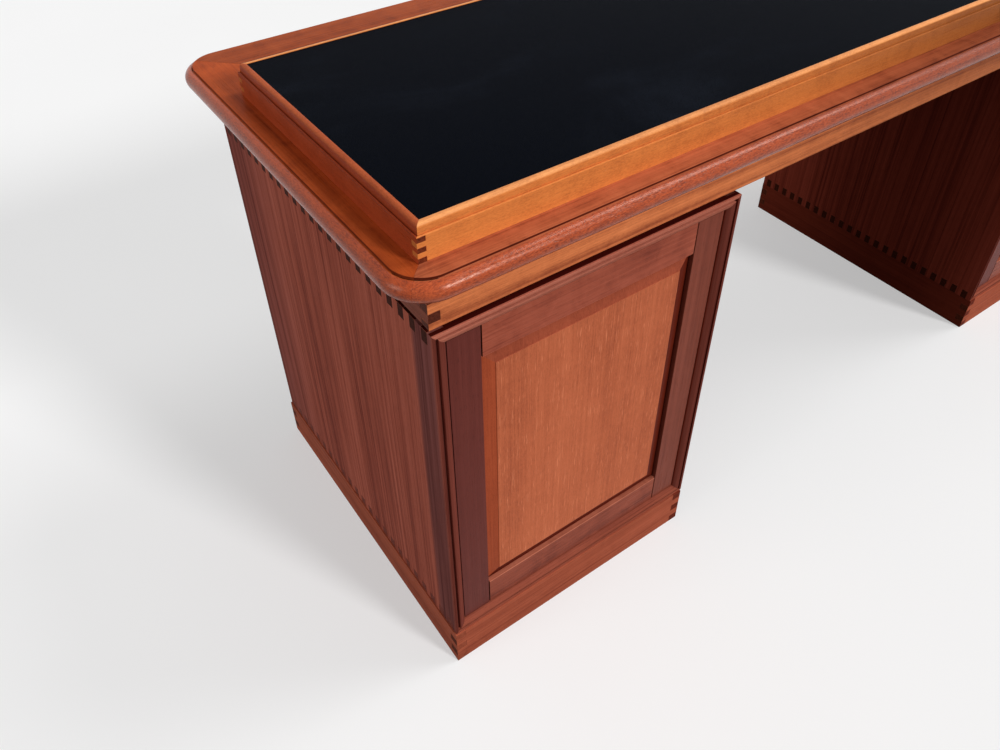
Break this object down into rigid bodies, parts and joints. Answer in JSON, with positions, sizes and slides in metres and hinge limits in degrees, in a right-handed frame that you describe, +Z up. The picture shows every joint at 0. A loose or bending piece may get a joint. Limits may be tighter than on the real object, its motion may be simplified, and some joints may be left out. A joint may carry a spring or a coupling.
{
  "type": "partners desk",
  "caption": "Pedestal desk with a leather writing surface in a raised beaded lip, finger-jointed boards and frame-and-panel cupboard doors towards both long sides.",
  "frame": {"origin": "on the floor, under the middle of the top", "axes": "+Z up, +X along the desk to the right as seen from the near side, near long side faces -Y"},
  "size_m": [1.756, 0.599, 0.7678],
  "materials": {
    "wood": "polished red-brown hardwood",
    "stile_wood": "polished dark red-brown hardwood",
    "panel_wood": "polished lighter hardwood",
    "core": "plain sanded board",
    "leather": "black smooth hide, slightly scuffed",
    "brass": "plain turned",
    "catch": "dark brown moulded"
  },
  "bodies": {
    "root": {"apron_back": "wood", "apron_front": "wood", "apron_left": "wood", "apron_right": "wood", "lip_back": "wood", "lip_front": "wood", "lip_left": "wood", "lip_right": "wood", "magnetic_catches": "catch", "pedestal_left_bottom": "wood", "pedestal_left_divider": "wood", "pedestal_left_inner_side": "wood", "pedestal_left_outer_side": "wood", "pedestal_left_top": "wood", "pedestal_right_bottom": "wood", "pedestal_right_divider": "wood", "pedestal_right_inner_side": "wood", "pedestal_right_outer_side": "wood", "pedestal_right_top": "wood", "pivot_bushes": "brass", "plinth_left_back": "wood", "plinth_left_front": "wood", "plinth_left_left": "wood", "plinth_left_right": "wood", "plinth_right_back": "wood", "plinth_right_front": "wood", "plinth_right_left": "wood", "plinth_right_right": "wood", "top_board_back": "wood", "top_board_front": "wood", "top_board_left": "wood", "top_board_right": "wood", "writing_core": "core", "writing_leather": "leather"},
    "door_front_left": {"door_front_left_bottom_rail": "wood", "door_front_left_hinge_stile": "stile_wood", "door_front_left_latch_stile": "stile_wood", "door_front_left_panel": "panel_wood", "door_front_left_pivot_pins": "brass", "door_front_left_top_rail": "wood"},
    "door_front_right": {"door_front_right_bottom_rail": "wood", "door_front_right_hinge_stile": "stile_wood", "door_front_right_latch_stile": "stile_wood", "door_front_right_panel": "panel_wood", "door_front_right_pivot_pins": "brass", "door_front_right_top_rail": "wood"},
    "door_back_left": {"door_back_left_bottom_rail": "wood", "door_back_left_hinge_stile": "stile_wood", "door_back_left_latch_stile": "stile_wood", "door_back_left_panel": "panel_wood", "door_back_left_pivot_pins": "brass", "door_back_left_top_rail": "wood"},
    "door_back_right": {"door_back_right_bottom_rail": "wood", "door_back_right_hinge_stile": "stile_wood", "door_back_right_latch_stile": "stile_wood", "door_back_right_panel": "panel_wood", "door_back_right_pivot_pins": "brass", "door_back_right_top_rail": "wood"}
  },
  "joints": [
    {"name": "door_front_left_swing", "type": "hinge", "parent": "root", "child": "door_front_left", "pos_m": [-0.7988, -0.258, 0.0892], "axis": [0, 0, -1], "range_deg": [0, 110]},
    {"name": "door_front_right_swing", "type": "hinge", "parent": "root", "child": "door_front_right", "pos_m": [0.7988, -0.258, 0.0892], "axis": [0, 0, 1], "range_deg": [0, 110]},
    {"name": "door_back_left_swing", "type": "hinge", "parent": "root", "child": "door_back_left", "pos_m": [-0.7988, 0.265, 0.0892], "axis": [0, 0, 1], "range_deg": [0, 110]},
    {"name": "door_back_right_swing", "type": "hinge", "parent": "root", "child": "door_back_right", "pos_m": [0.7988, 0.265, 0.0892], "axis": [0, 0, -1], "range_deg": [0, 110]}
  ]
}
